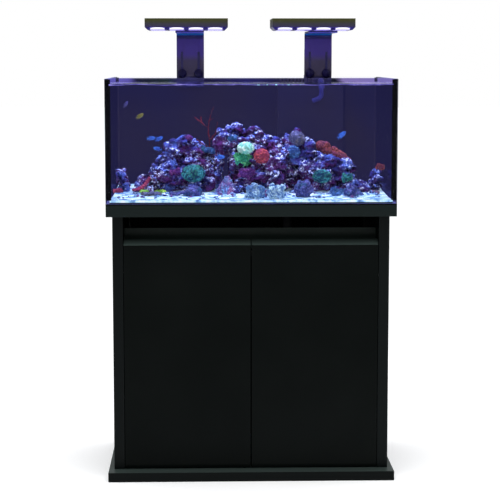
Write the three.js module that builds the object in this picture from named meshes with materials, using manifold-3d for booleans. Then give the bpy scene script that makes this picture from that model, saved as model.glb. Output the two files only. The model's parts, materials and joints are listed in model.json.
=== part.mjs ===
// A reef aquarium on a two-door cabinet, with two clip-on lights.
// Millimetres, +Z up. The front of the aquarium faces -Y and the floor is z = 0.
import * as THREE from 'three';
import { mergeVertices } from 'three/addons/utils/BufferGeometryUtils.js';
import Module from 'manifold-3d';

const wasm = await Module();
wasm.setup();

// ---- Driving dimensions ----
const WIDTH = 900;            // tank, top board and plinth
const DEPTH = 550;
const CLAMP_REACH = 8;        // how far the light clamps stand out behind the tank
const FRONT = -(DEPTH + CLAMP_REACH) / 2;
const REAR = FRONT + DEPTH;
const GAP = 0.3;              // clearance between pieces that touch

const PLINTH_TOP = 30;
const BOARD_LOW = 836;
const BOARD_TOP = 872;
const FOAM_TOP = 876;
const BASE_TOP = 886;         // upper face of the tank's base pane
const RIM = 1260;             // top edge of the glass
const PANE = 12;

const CABINET_WIDTH = 866;
const SIDE_BOARD = 33;
const INNER = CABINET_WIDTH / 2 - SIDE_BOARD;   // half the clear width inside
const OVERHANG = 50;          // plinth and top board stand this far ahead of the doors
const CABINET_FRONT = FRONT + OVERHANG;
const CABINET_REAR = REAR - 9;
const BACK_BOARD = 12;

const DOOR = 18;
const DOOR_LOW = PLINTH_TOP + 3;
const DOOR_BEVEL_LOW = 743;
const DOOR_TOP = DOOR_BEVEL_LOW + DOOR;
const DOOR_SIDE_GAP = 1.5;
const HINGE_HEIGHTS = { lower: 130, upper: 640 };
const HINGE_INSET = 24;       // cup centre from the door's edge

const RAIL_SETBACK = 90;
const RAIL_LOW = 700;
const RAIL_TOP = 788;

const DRAIN = { x: 135, y: 218, r: 16 };
const RETURN = { x: 246, y: 218, r: 10 };
const WEIR = { left: 102, right: 320, front: 180, top: 1236, wall: 6 };
const NOZZLE_Y = 160;
const NOZZLE_R = 8;

const GLAND = { x: 300, z: 690, r: 30, bore: 22 };
const VALVE = { low: 560, high: 640, r: 24 };
const RISER_LOW = 700;

const SUMP = { left: -340, right: 160, front: -150, rear: 200, top: 330, wall: 6 };
const SOCK = { x: -260, y: 25, r: 50 };
const PUMP = { x: 95, y: 30 };

const SAND = { front: 893, rear: 905 };

const LIGHT_LENGTH = 261;
const LIGHT_CENTRE = 200.5;   // from the middle of the tank
const LIGHT_FRONT = FRONT + 150;
const LIGHT_DEPTH = 200;
const LIGHT_LOW = 1410.7;
const LIGHT_TOP = 1447;
const LIGHT_CHAMFER = 9;
const LENS = 8;               // thickness of the lens plate
const ARM_WIDTH = 92;
const ARM = 6;
const ARM_CENTRES = { left: -191, right: 240 };
const SCREW_SPREAD = 28;
const SCREW_HEIGHT = 1272;

// ---- Finishes ----
function finish(color, roughness, metalness = 0, extra = {}) {
  return new THREE.MeshStandardMaterial({ color, roughness, metalness, ...extra });
}
const clear = { transparent: true, opacity: 0.3 };
const looks = {
  lacquer: finish(0x0b0e0d, 0.12),
  board: finish(0x141a19, 0.3),
  foam: finish(0x050505, 0.95),
  glass: finish(0xbfd8e6, 0.02, 0, clear),
  silicone: finish(0x060607, 0.4),
  film: finish(0x1c1838, 0.6),
  acrylic: finish(0x12101f, 0.2),
  pvc: finish(0x4c4f52, 0.45),
  rubber: finish(0x101010, 0.8),
  steel: finish(0xb8bab8, 0.25, 1),
  bracket: finish(0x2a2340, 0.35, 0.8),
  housing: finish(0x3f402f, 0.4, 0.7),
  lens: finish(0xf4f6ff, 0.2, 0, { emissive: 0xdfe6ff }),
  sand: finish(0xe8edf4, 0.95),
  rock: finish(0x5a4a86, 0.9),
  fabric: finish(0xe6e6e2, 0.95),
};

const aquarium = new THREE.Group();

function place(name, geometry, look, position = [0, 0, 0], parent = aquarium) {
  const mesh = new THREE.Mesh(geometry, look);
  mesh.name = name;
  mesh.position.set(...position);
  parent.add(mesh);
  return mesh;
}

// ---- Geometry helpers ----
function block(low, high) {
  const size = high.map((value, axis) => value - low[axis]);
  const middle = high.map((value, axis) => (value + low[axis]) / 2);
  return new THREE.BoxGeometry(...size).translate(...middle);
}

// Outline in the XY plane, extruded from z = low to z = high.
function prism(outline, low, high) {
  const geometry = new THREE.ExtrudeGeometry(outline, {
    depth: high - low, bevelEnabled: false, curveSegments: 8,
  });
  return geometry.translate(0, 0, low);
}

// Outline given as (y, z), extruded from x = low to x = high.
function prismAlongX(outline, low, high) {
  const turn = new THREE.Matrix4().makeBasis(
    new THREE.Vector3(0, 1, 0), new THREE.Vector3(0, 0, 1), new THREE.Vector3(1, 0, 0));
  return prism(outline, low, high).applyMatrix4(turn);
}

// Outline given as (x, z), extruded from y = low to y = high.
function prismAlongY(outline, low, high) {
  const turn = new THREE.Matrix4().makeBasis(
    new THREE.Vector3(1, 0, 0), new THREE.Vector3(0, 0, 1), new THREE.Vector3(0, -1, 0));
  return prism(outline, -high, -low).applyMatrix4(turn);
}

function polygon(points) {
  return new THREE.Shape(points.map(([a, b]) => new THREE.Vector2(a, b)));
}

function rectangle(low, high) {
  return polygon([[low[0], low[1]], [high[0], low[1]], [high[0], high[1]], [low[0], high[1]]]);
}

function roundHole(x, y, radius) {
  return new THREE.Path().absarc(x, y, radius, 0, 2 * Math.PI, true);
}

function disc(radius) {
  return new THREE.Shape().absarc(0, 0, radius, 0, 2 * Math.PI, false);
}

// Revolved solid around the z axis from (radius, height) points.
function turned(points, segments = 24) {
  const profile = points.map(([radius, height]) => new THREE.Vector2(radius, height));
  return new THREE.LatheGeometry(profile, segments).rotateX(Math.PI / 2);
}

function toSolid(geometry) {
  const bare = geometry.clone();
  bare.deleteAttribute('normal');
  bare.deleteAttribute('uv');
  const merged = mergeVertices(bare, 1e-3);
  return new wasm.Manifold(new wasm.Mesh({
    numProp: 3,
    vertProperties: Float32Array.from(merged.attributes.position.array),
    triVerts: Uint32Array.from(merged.index.array),
  }));
}

function toGeometry(solid) {
  const mesh = solid.getMesh();
  const geometry = new THREE.BufferGeometry();
  geometry.setAttribute('position', new THREE.BufferAttribute(mesh.vertProperties, 3));
  geometry.setIndex(new THREE.BufferAttribute(mesh.triVerts, 1));
  return geometry;
}

function join(...geometries) {
  return toGeometry(geometries.map(toSolid).reduce((sum, solid) => sum.add(solid)));
}

function cut(geometry, ...tools) {
  return toGeometry(tools.map(toSolid).reduce((rest, tool) => rest.subtract(tool), toSolid(geometry)));
}

// Straight runs through the given corners, with each corner rounded.
function bentPath(corners, bend) {
  const points = corners.map((corner) => new THREE.Vector3(...corner));
  const path = new THREE.CurvePath();
  let from = points[0];
  for (let i = 1; i < points.length - 1; i += 1) {
    const before = points[i - 1].clone().sub(points[i]).setLength(bend).add(points[i]);
    const after = points[i + 1].clone().sub(points[i]).setLength(bend).add(points[i]);
    path.add(new THREE.LineCurve3(from, before));
    path.add(new THREE.QuadraticBezierCurve3(before, points[i], after));
    from = after;
  }
  path.add(new THREE.LineCurve3(from, points[points.length - 1]));
  return path;
}

// Pipe with its bore, along a bent path.
function pipe(corners, radius, wall, bend, steps) {
  const section = disc(radius);
  section.holes.push(roundHole(0, 0, radius - wall));
  return new THREE.ExtrudeGeometry(section, {
    extrudePath: bentPath(corners, bend), steps, bevelEnabled: false, curveSegments: 5,
  });
}

function straightPipe({ x, y, r }, low, high, wall) {
  const section = disc(r);
  section.holes.push(roundHole(0, 0, r - wall));
  return prism(section, low, high).translate(x, y, 0);
}

// ---- Cabinet ----
function withPipeHoles(outline) {
  for (const { x, y, r } of [DRAIN, RETURN]) outline.holes.push(roundHole(x, y, r + 0.5));
  return outline;
}

function buildCabinet() {
  const half = WIDTH / 2;
  const sideLow = PLINTH_TOP + GAP;
  const sideHigh = BOARD_LOW - GAP;
  place('plinth_board', block([-half, FRONT, 0], [half, REAR, PLINTH_TOP]), looks.board);
  for (const [side, sign] of [['left', -1], ['right', 1]]) {
    const middle = sign * (INNER + SIDE_BOARD / 2);
    place(`side_panel_${side}`, block(
      [middle - SIDE_BOARD / 2, CABINET_FRONT, sideLow],
      [middle + SIDE_BOARD / 2, CABINET_REAR, sideHigh]), looks.board);
  }
  const back = rectangle([-INNER + GAP, sideLow], [INNER - GAP, sideHigh]);
  back.holes.push(roundHole(GLAND.x, GLAND.z, GLAND.r + 1));
  place('back_panel', prismAlongY(back, CABINET_REAR - BACK_BOARD, CABINET_REAR), looks.board);
  place('fascia_rail', block(
    [-INNER + GAP, CABINET_FRONT + RAIL_SETBACK, RAIL_LOW],
    [INNER - GAP, CABINET_FRONT + RAIL_SETBACK + DOOR, RAIL_TOP]), looks.lacquer);
  const top = withPipeHoles(rectangle([-half, FRONT], [half, REAR]));
  place('top_board', prism(top, BOARD_LOW, BOARD_TOP), looks.board);
  const mat = withPipeHoles(rectangle([-half, FRONT], [half, REAR]));
  place('foam_mat', prism(mat, BOARD_TOP + GAP, FOAM_TOP), looks.foam);
}

function buildCableGland() {
  const flange = 34;
  const lip = 3;
  const ring = turned([
    [GLAND.bore, 0], [GLAND.r, 0], [GLAND.r, BACK_BOARD + GAP], [flange, BACK_BOARD + GAP],
    [flange, BACK_BOARD + lip], [GLAND.bore, BACK_BOARD + lip], [GLAND.bore, 0],
  ]).rotateX(Math.PI / 2);
  place('cable_gland', ring, looks.rubber, [GLAND.x, CABINET_REAR, GLAND.z]);
}

// ---- Doors ----
function buildDoor(side, sign) {
  const profile = polygon([
    [CABINET_FRONT, DOOR_LOW], [CABINET_FRONT + DOOR, DOOR_LOW],
    [CABINET_FRONT + DOOR, DOOR_TOP], [CABINET_FRONT, DOOR_BEVEL_LOW],
  ]);
  const edges = [sign * DOOR_SIDE_GAP, sign * (INNER - DOOR_SIDE_GAP)].sort((a, b) => a - b);
  place(`door_${side}`, prismAlongX(profile, ...edges), looks.lacquer);
  for (const [level, height] of Object.entries(HINGE_HEIGHTS)) buildHinge(side, sign, level, height);
}

function buildHinge(side, sign, level, height) {
  const doorBack = CABINET_FRONT + DOOR + GAP;
  const cup = turned([[0, 0], [19, 0], [19, 2], [15, 2.5], [15, 10], [0, 10]]).rotateX(-Math.PI / 2);
  const cupX = sign * (INNER - HINGE_INSET);
  place(`hinge_cup_${side}_${level}`, cup, looks.steel, [cupX, doorBack, height]);

  const wall = sign * (INNER - GAP);
  const reach = sign * (INNER - HINGE_INSET - 10);
  const armFront = doorBack + 11;
  const span = (a, b) => [Math.min(a, b), Math.max(a, b)];
  const [plateLow, plateHigh] = span(wall, wall - sign * 5);
  const [armLow, armHigh] = span(wall - sign * 2, reach);
  const plate = block([plateLow, armFront + 4, height - 18], [plateHigh, armFront + 50, height + 18]);
  const arm = block([armLow, armFront, height - 8], [armHigh, armFront + 34, height + 8]);
  place(`hinge_plate_${side}_${level}`, join(plate, arm), looks.steel);
}

function buildDoorCatch() {
  const rear = CABINET_FRONT + RAIL_SETBACK - GAP;
  place('door_catch', block([-30, CABINET_FRONT + DOOR + 1, 706], [30, rear, 724]), looks.rubber);
}

// ---- Tank ----
function buildTank() {
  const half = WIDTH / 2;
  const low = FOAM_TOP + GAP;
  const bead = 1.6;           // room for the silicone between two panes
  place('glass_front', block([-half, FRONT, low], [half, FRONT + PANE, RIM]), looks.glass);
  place('glass_back', block([-half, REAR - PANE, low], [half, REAR, RIM]), looks.glass);
  for (const [side, sign] of [['left', -1], ['right', 1]]) {
    const middle = sign * (half - PANE / 2);
    place(`glass_${side}`, block(
      [middle - PANE / 2, FRONT + PANE + bead, low],
      [middle + PANE / 2, REAR - PANE - bead, RIM]), looks.glass);
  }
  const inner = half - PANE - GAP;
  const base = withPipeHoles(rectangle([-inner, FRONT + PANE + GAP], [inner, REAR - PANE - GAP]));
  place('glass_base', prism(base, low, BASE_TOP), looks.glass);
  buildSilicone(half, inner);
  place('background_film', block(
    [-half + 4, REAR + GAP, low + 3], [half - 4, REAR + 0.9, RIM - 4]), looks.film);
}

// Each bead fills the joint between two panes and rounds off the corner inside.
function buildSilicone(half, inner) {
  const fillet = 5;
  const film = 1;
  for (const [end, y, into] of [['front', FRONT + PANE + GAP, 1], ['rear', REAR - PANE - GAP, -1]]) {
    for (const [side, sign] of [['left', -1], ['right', 1]]) {
      const outline = [
        [sign * (half - GAP), y], [sign * (inner - fillet), y], [sign * inner, y + into * fillet],
        [sign * inner, y + into * film], [sign * (half - GAP), y + into * film],
      ];
      if (sign * into < 0) outline.reverse();
      place(`silicone_${end}_${side}`,
        prism(polygon(outline), BASE_TOP + GAP, RIM - 2), looks.silicone);
    }
  }
}

// ---- Overflow weir and plumbing ----
function buildWeir() {
  const { left, right, front, wall, top } = WEIR;
  const rear = REAR - PANE - 0.5;
  const outline = polygon([
    [left, rear], [left, front], [right, front], [right, rear],
    [right - wall, rear], [right - wall, front + wall], [left + wall, front + wall], [left + wall, rear],
  ]);
  place('weir_box', prism(outline, BASE_TOP + GAP, top), looks.acrylic);
  place('weir_comb', buildComb(), looks.acrylic);
}

// A strip that stands on the weir's front wall, with teeth that keep fish out.
function buildComb() {
  const tooth = 6;
  const teeth = 10;
  const low = WEIR.top + GAP;
  const start = WEIR.left + 6;
  const outline = [[start, low + 5]];
  for (let i = 0; i < teeth; i += 1) {
    const x = start + 2 * i * tooth;
    outline.push([x, low + 20], [x + tooth, low + 20], [x + tooth, low + 5]);
    if (i < teeth - 1) outline.push([x + 2 * tooth, low + 5]);
  }
  outline.shift();
  outline.push([start + (2 * teeth - 1) * tooth, low], [start, low]);
  return prismAlongY(polygon(outline.reverse()), WEIR.front, WEIR.front + WEIR.wall);
}

function buildDrain() {
  place('drain_standpipe', straightPipe(DRAIN, VALVE.high + GAP, 1215, 3), looks.pvc);
  const body = straightPipe({ ...DRAIN, r: VALVE.r }, VALVE.low, VALVE.high, VALVE.r - DRAIN.r + 3);
  place('drain_valve', body, looks.pvc);
  const lever = join(
    block([-8, -6, -14], [8, 0, 76]),
    new THREE.CylinderGeometry(11, 11, 6, 20).translate(0, -3, 0));
  place('drain_valve_handle', lever, looks.rubber,
    [DRAIN.x, DRAIN.y - VALVE.r - GAP, (VALVE.low + VALVE.high) / 2]);
  place('drain_pipe', pipe([
    [DRAIN.x, DRAIN.y, VALVE.low - GAP], [DRAIN.x, DRAIN.y, 470],
    [SOCK.x, SOCK.y, 448], [SOCK.x, SOCK.y, 255],
  ], DRAIN.r, 3, 45, 22), looks.pvc);
}

function buildReturn() {
  const crossing = RIM - 13;
  place('return_hose', pipe([
    [PUMP.x, PUMP.y, 122], [PUMP.x, PUMP.y, 560],
    [RETURN.x, RETURN.y, 640], [RETURN.x, RETURN.y, RISER_LOW - GAP],
  ], RETURN.r, 2.5, 34, 18), looks.rubber);
  place('return_riser', pipe([
    [RETURN.x, RETURN.y, RISER_LOW], [RETURN.x, RETURN.y, crossing],
    [RETURN.x, NOZZLE_Y, crossing], [RETURN.x, NOZZLE_Y, 1222],
  ], RETURN.r, 2.5, 20, 30), looks.pvc);
  place('return_nozzle', pipe([
    [0, 0, 0], [0, 0, -30], [-30, 0, -40],
  ], NOZZLE_R, 1.5, 16, 10), looks.pvc, [RETURN.x, NOZZLE_Y, 1222 - GAP]);
}

// ---- Sump under the tank ----
function buildSump() {
  const { left, right, front, rear, top, wall } = SUMP;
  const low = PLINTH_TOP + GAP;
  const shell = block([left, front, low], [right, rear, top]);
  const hollow = block([left + wall, front + wall, low + wall], [right - wall, rear - wall, top + wall]);
  place('sump_tank', cut(shell, hollow), looks.glass);
  for (const [name, x] of [['sump_baffle_left', -170], ['sump_baffle_right', 20]]) {
    place(name, block(
      [x, front + wall + GAP, low + wall + GAP], [x + wall, rear - wall - GAP, 260]), looks.glass);
  }
  const shelf = rectangle([left + 7, front], [left + 153, rear]);
  shelf.holes.push(roundHole(SOCK.x, SOCK.y, SOCK.r + 2));
  place('sock_shelf', prism(shelf, top + GAP, top + 5), looks.acrylic);
  const seat = top + 5 + GAP;
  const bag = turned([
    [0, 120], [44, 120], [SOCK.r, 128], [SOCK.r, seat], [60, seat], [60, seat + 5],
    [46, seat + 5], [46, 130], [42, 124], [0, 124],
  ]);
  place('filter_sock', bag, looks.fabric, [SOCK.x, SOCK.y, 0]);
}

function buildPump() {
  const floor = PLINTH_TOP + GAP + SUMP.wall + GAP;
  const body = block([-35, -50, 0], [35, 50, 62]);
  const outlet = turned([[0, 50], [15, 50], [15, 84], [0, 84]]);
  const intake = turned([[0, 0], [24, 0], [24, 34], [0, 34]]).rotateX(Math.PI / 2);
  const strainer = intake.translate(0, -46, 31);
  place('return_pump', join(body, outlet, strainer), looks.rubber, [PUMP.x, PUMP.y, floor]);
}

// ---- Sand and rockwork ----
function bedProfile(low, lift) {
  return polygon([
    [FRONT + PANE + GAP, low], [WEIR.front - GAP, low],
    [WEIR.front - GAP, SAND.rear + lift], [FRONT + PANE + GAP, SAND.front + lift],
  ]);
}

function buildSand() {
  const inner = WIDTH / 2 - PANE - 6;
  place('sand_bed', prismAlongX(bedProfile(BASE_TOP + GAP, 0), -inner, inner), looks.sand);
}

// Boulders are given by centre and half sizes; their foot follows the slope of the sand.
const BOULDERS = {
  rock_left: [
    [-300, 20, 915, 60, 90, 60], [-255, 10, 960, 62, 80, 70],
    [-200, 0, 985, 68, 80, 88], [-165, 15, 940, 42, 90, 70],
  ],
  rock_middle: [
    [-62, 50, 960, 45, 75, 85], [-55, 25, 1050, 55, 70, 50], [-5, 15, 1060, 58, 75, 57],
    [30, 10, 985, 72, 85, 80], [20, -20, 930, 78, 100, 50], [66, 20, 1040, 44, 70, 45],
  ],
  rock_right: [
    [172, 20, 1030, 50, 75, 62], [187, 10, 945, 60, 90, 65],
    [258, 10, 960, 65, 85, 60], [312, 0, 915, 56, 80, 50],
  ],
};

function buildRockwork() {
  const inner = WIDTH / 2 - PANE;
  const bed = toSolid(prismAlongX(bedProfile(700, GAP), -inner, inner));
  for (const [name, boulders] of Object.entries(BOULDERS)) {
    const solids = boulders.map(([x, y, z, a, b, c]) => toSolid(
      new THREE.IcosahedronGeometry(1, 1).scale(a, b, c).translate(x, y, z)));
    const pile = solids.reduce((sum, boulder) => sum.add(boulder));
    place(name, toGeometry(pile.subtract(bed)), looks.rock);
  }
}

// ---- Lights ----
function lightBody(centre) {
  const [low, high] = [centre - LIGHT_LENGTH / 2, centre + LIGHT_LENGTH / 2];
  const c = LIGHT_CHAMFER;
  const lengthwise = polygon([
    [low + c, LIGHT_LOW], [high - c, LIGHT_LOW], [high, LIGHT_LOW + c],
    [high, LIGHT_TOP], [low, LIGHT_TOP], [low, LIGHT_LOW + c],
  ]);
  const rear = LIGHT_FRONT + LIGHT_DEPTH;
  const crosswise = polygon([
    [LIGHT_FRONT + c, LIGHT_LOW], [rear - c, LIGHT_LOW], [rear, LIGHT_LOW + c],
    [rear, LIGHT_TOP], [LIGHT_FRONT, LIGHT_TOP], [LIGHT_FRONT, LIGHT_LOW + c],
  ]);
  const along = toSolid(prismAlongY(lengthwise, LIGHT_FRONT, rear));
  return along.intersect(toSolid(prismAlongX(crosswise, low, high)));
}

// Plan of the four windows with the strip that links them at the rear.
function windowPlan(centre, grow) {
  const pitch = 60.5;
  const width = 46;
  const windows = 4;
  const rear = LIGHT_FRONT + LIGHT_DEPTH - 20 + grow;
  const front = LIGHT_FRONT - 5;
  const strip = rear - 14 - 2 * grow;
  const start = centre - (windows - 1) * pitch / 2;
  const left = (i) => start + i * pitch - width / 2 - grow;
  const right = (i) => start + i * pitch + width / 2 + grow;
  const outline = [];
  for (let i = 0; i < windows; i += 1) {
    outline.push([left(i), front], [right(i), front]);
    if (i < windows - 1) outline.push([right(i), strip], [left(i + 1), strip]);
  }
  outline.push([right(windows - 1), rear], [left(0), rear]);
  return polygon(outline);
}

function buildFixture(side, centre) {
  const body = lightBody(centre);
  const lens = toSolid(prism(windowPlan(centre, 0), LIGHT_LOW - 1, LIGHT_LOW + LENS));
  const pocket = toSolid(prism(windowPlan(centre, GAP), LIGHT_LOW - 1, LIGHT_LOW + LENS + GAP));
  const bay = toSolid(block(
    [centre - LIGHT_LENGTH / 2 + 12, LIGHT_FRONT + 14, LIGHT_LOW + LENS],
    [centre + LIGHT_LENGTH / 2 - 12, LIGHT_FRONT + LIGHT_DEPTH - 14, LIGHT_TOP - 5]));
  place(`light_housing_${side}`, toGeometry(body.subtract(pocket).subtract(bay)), looks.housing);
  place(`light_lens_${side}`, toGeometry(body.intersect(lens)), looks.lens);
}

function slot(x, low, high, width) {
  const outline = new THREE.Shape();
  outline.absarc(x, high, width / 2, 0, Math.PI, false);
  outline.absarc(x, low, width / 2, Math.PI, 2 * Math.PI, false);
  return outline;
}

// A strap that rises behind the tank's rim and bends forward under the light.
function buildArm(side) {
  const centre = ARM_CENTRES[side];
  const rear = REAR - PANE - GAP - ARM - GAP;
  const top = LIGHT_LOW - GAP;
  const bend = 21;
  const tip = LIGHT_FRONT + LIGHT_DEPTH - 60;
  const outline = new THREE.Shape();
  outline.moveTo(rear, 1262);
  outline.absarc(rear - bend, top - bend, bend, 0, Math.PI / 2, false);
  outline.lineTo(tip, top);
  outline.lineTo(tip, top - ARM);
  outline.absarc(rear - bend, top - bend, bend - ARM, Math.PI / 2, 0, true);
  outline.lineTo(rear - ARM, 1262);
  const strap = prismAlongX(outline, centre - ARM_WIDTH / 2, centre + ARM_WIDTH / 2);
  const slots = [-1, 1].map((sign) => prismAlongY(
    slot(centre + sign * SCREW_SPREAD, SCREW_HEIGHT, 1341, 8), rear - 2 * ARM, rear + ARM));
  place(`light_arm_${side}`, cut(strap, ...slots), looks.bracket);
}

function buildClamp(side) {
  const centre = ARM_CENTRES[side];
  const inner = REAR - PANE - GAP;
  const outer = REAR + CLAMP_REACH;
  const over = RIM + GAP;
  const outline = polygon([
    [inner - ARM, 1226], [inner, 1226], [inner, over], [outer - ARM, over],
    [outer - ARM, 1200], [outer, 1200], [outer, over + ARM], [inner, over + ARM],
    [inner, 1352], [inner - ARM, 1352],
  ]);
  const plate = prismAlongX(outline, centre - ARM_WIDTH / 2, centre + ARM_WIDTH / 2);
  const holes = [-1, 1].map((sign) => prismAlongY(
    slot(centre + sign * SCREW_SPREAD, SCREW_HEIGHT, SCREW_HEIGHT, 6.6), inner - 2 * ARM, inner + ARM));
  place(`light_clamp_${side}`, cut(plate, ...holes), looks.bracket);
  buildThumbscrews(side, centre, inner - 2 * ARM - 2 * GAP);
}

function buildThumbscrews(side, centre, seat) {
  const screw = [[0, -12], [3, -12], [3, 0], [16, 0], [16, 4], [14, 8], [9, 11.5], [0, 13]];
  for (const sign of [-1, 1]) {
    const label = sign * Math.sign(centre) > 0 ? 'outer' : 'inner';
    const x = centre + sign * SCREW_SPREAD;
    place(`thumbscrew_${side}_${label}`, turned(screw, 20).rotateX(Math.PI / 2),
      looks.rubber, [x, seat, SCREW_HEIGHT]);
  }
}

buildCabinet();
buildCableGland();
buildDoor('left', -1);
buildDoor('right', 1);
buildDoorCatch();
buildTank();
buildWeir();
buildDrain();
buildReturn();
buildSump();
buildPump();
buildSand();
buildRockwork();
for (const [side, sign] of [['left', -1], ['right', 1]]) {
  buildFixture(side, sign * LIGHT_CENTRE);
  buildArm(side);
  buildClamp(side);
}

export default aquarium;
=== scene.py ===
"""The looks of the reef aquarium.

Procedural materials for every CAD node, and modelled sand, rock, corals, fish and water.
"""

import json
import math
import random

import bmesh
import bpy
from mathutils import Euler, Matrix, Vector, noise
from mathutils.bvhtree import BVHTree


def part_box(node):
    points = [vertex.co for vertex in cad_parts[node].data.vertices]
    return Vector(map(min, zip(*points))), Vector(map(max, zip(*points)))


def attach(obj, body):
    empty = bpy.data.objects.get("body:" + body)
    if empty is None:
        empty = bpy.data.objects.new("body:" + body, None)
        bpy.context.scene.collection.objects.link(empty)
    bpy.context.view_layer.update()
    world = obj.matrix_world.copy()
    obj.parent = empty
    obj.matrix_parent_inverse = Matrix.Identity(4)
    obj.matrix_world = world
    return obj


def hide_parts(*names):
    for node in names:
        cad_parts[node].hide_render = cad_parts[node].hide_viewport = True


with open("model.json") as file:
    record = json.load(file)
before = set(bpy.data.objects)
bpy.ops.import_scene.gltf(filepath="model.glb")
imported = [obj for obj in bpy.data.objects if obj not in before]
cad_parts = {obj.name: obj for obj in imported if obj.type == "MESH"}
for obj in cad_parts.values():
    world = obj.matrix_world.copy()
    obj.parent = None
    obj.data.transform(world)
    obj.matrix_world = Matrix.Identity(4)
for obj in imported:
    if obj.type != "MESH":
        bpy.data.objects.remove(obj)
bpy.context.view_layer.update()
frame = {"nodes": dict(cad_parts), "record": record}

MM = 0.001
ROOT = "tank_and_cabinet"
SIDES = ("left", "right")

glass_low, glass_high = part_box("glass_front")
FRONT = glass_low.y
RIM = glass_high.z
PANE = glass_high.y - glass_low.y
FLOOR_OF_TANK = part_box("glass_base")[1].z
INNER_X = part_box("glass_right")[0].x
SAND_LOW, SAND_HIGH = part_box("sand_bed")
WATER_LEVEL = RIM - 16 * MM

BLACK = (0.0, 0.0, 0.0)
UNTURNED = (0, 0, 0)


def placed(name, data):
    """A new object in the scene that shows this mesh, light or camera data."""
    made = bpy.data.objects.new(name, data)
    bpy.context.scene.collection.objects.link(made)
    return made


# ---------------------------------------------------------------- camera, floor and light

SENSOR_WIDTH = 36
LENS = 117.2
CAMERA_LEFT = 0.15
CAMERA_BACK = 5.0
CAMERA_OVER_RIM = 60 * MM
CAMERA_DOWN = math.radians(6.69)
CAMERA_TURN = math.radians(-1.66)


def make_camera():
    """Stands well back, a little left of the middle and just above the rim."""
    data = bpy.data.cameras.new("camera")
    data.sensor_width = SENSOR_WIDTH
    data.lens = LENS
    data.clip_end = 200
    camera = placed("camera", data)
    camera.location = (-CAMERA_LEFT, FRONT - CAMERA_BACK, RIM + CAMERA_OVER_RIM)
    camera.rotation_euler = (math.radians(90) - CAMERA_DOWN, 0, CAMERA_TURN)
    bpy.context.scene.camera = camera


HORIZON_LIGHT = (0.16, 0.165, 0.17, 1)
OVERHEAD_LIGHT = (1.15, 1.16, 1.18, 1)
SEEN_BACKDROP = (1.0, 1.0, 1.0, 1)


def make_world():
    """Pale all round for the eye; as light it is bright overhead and dim at the horizon, as in a studio."""
    world = bpy.data.worlds.new("studio")
    bpy.context.scene.world = world
    world.use_nodes = True
    nodes, links = world.node_tree.nodes, world.node_tree.links
    background = nodes["Background"]
    coordinates = nodes.new("ShaderNodeTexCoord")
    split = nodes.new("ShaderNodeSeparateXYZ")
    links.new(coordinates.outputs["Generated"], split.inputs[0])
    ramp = nodes.new("ShaderNodeValToRGB")
    ramp.color_ramp.elements[0].position = 0.0
    ramp.color_ramp.elements[0].color = HORIZON_LIGHT
    ramp.color_ramp.elements[1].position = 0.75
    ramp.color_ramp.elements[1].color = OVERHEAD_LIGHT
    links.new(split.outputs["Z"], ramp.inputs[0])
    path = nodes.new("ShaderNodeLightPath")
    mix = nodes.new("ShaderNodeMix")
    mix.data_type = "RGBA"
    links.new(path.outputs["Is Camera Ray"], mix.inputs["Factor"])
    links.new(ramp.outputs["Color"], mix.inputs[6])
    mix.inputs[7].default_value = SEEN_BACKDROP
    links.new(mix.outputs[2], background.inputs["Color"])


def mesh_of(name, bm):
    """Turns a bmesh into a mesh and lets go of the bmesh."""
    mesh = bpy.data.meshes.new(name)
    bm.to_mesh(mesh)
    bm.free()
    return mesh


def add_light(name, location, target, size, power, colour=(1, 1, 1)):
    data = bpy.data.lights.new(name, "AREA")
    data.shape = "RECTANGLE"
    data.size, data.size_y = size
    data.energy = power
    data.color = colour
    light = placed(name, data)
    light.location = location
    direction = Vector(target) - Vector(location)
    light.rotation_euler = direction.to_track_quat("-Z", "Y").to_euler()
    light.visible_camera = False
    light.visible_glossy = False
    return light


STUDIO_WATTS = 60
LED_WATTS = 2.3
LED_COLOUR = (0.48, 0.54, 1.0)
LED_SIZE = (0.2, 0.16)


def make_lights():
    """A large soft light overhead, and a blue one under each lens that moves with its housing."""
    add_light("overhead", (0, -0.6, 3.6), (0, 0, 1.0), (3.0, 3.0), STUDIO_WATTS)
    for side in SIDES:
        low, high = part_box(f"light_lens_{side}")
        middle = (low + high) / 2
        below = Vector((middle.x, middle.y, low.z - 4 * MM))
        led = add_light(f"led_{side}", below, below - Vector((0, 0, 1)), LED_SIZE, LED_WATTS, LED_COLOUR)
        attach(led, f"light_{side}")


def make_floor():
    bm = bmesh.new()
    bmesh.ops.create_circle(bm, cap_ends=True, segments=96, radius=40)
    floor = placed("studio_floor", mesh_of("studio_floor", bm))
    look = Look("pale_floor", roughness=0.9, specular=0.0)
    tone = look.two_tone(look.noise(1.5), (0.94, 0.94, 0.94), (0.96, 0.96, 0.96))
    look.colour(tone).glow(tone, 0.16)
    floor.data.materials.append(look.material)


# ---------------------------------------------------------------- materials

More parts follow.
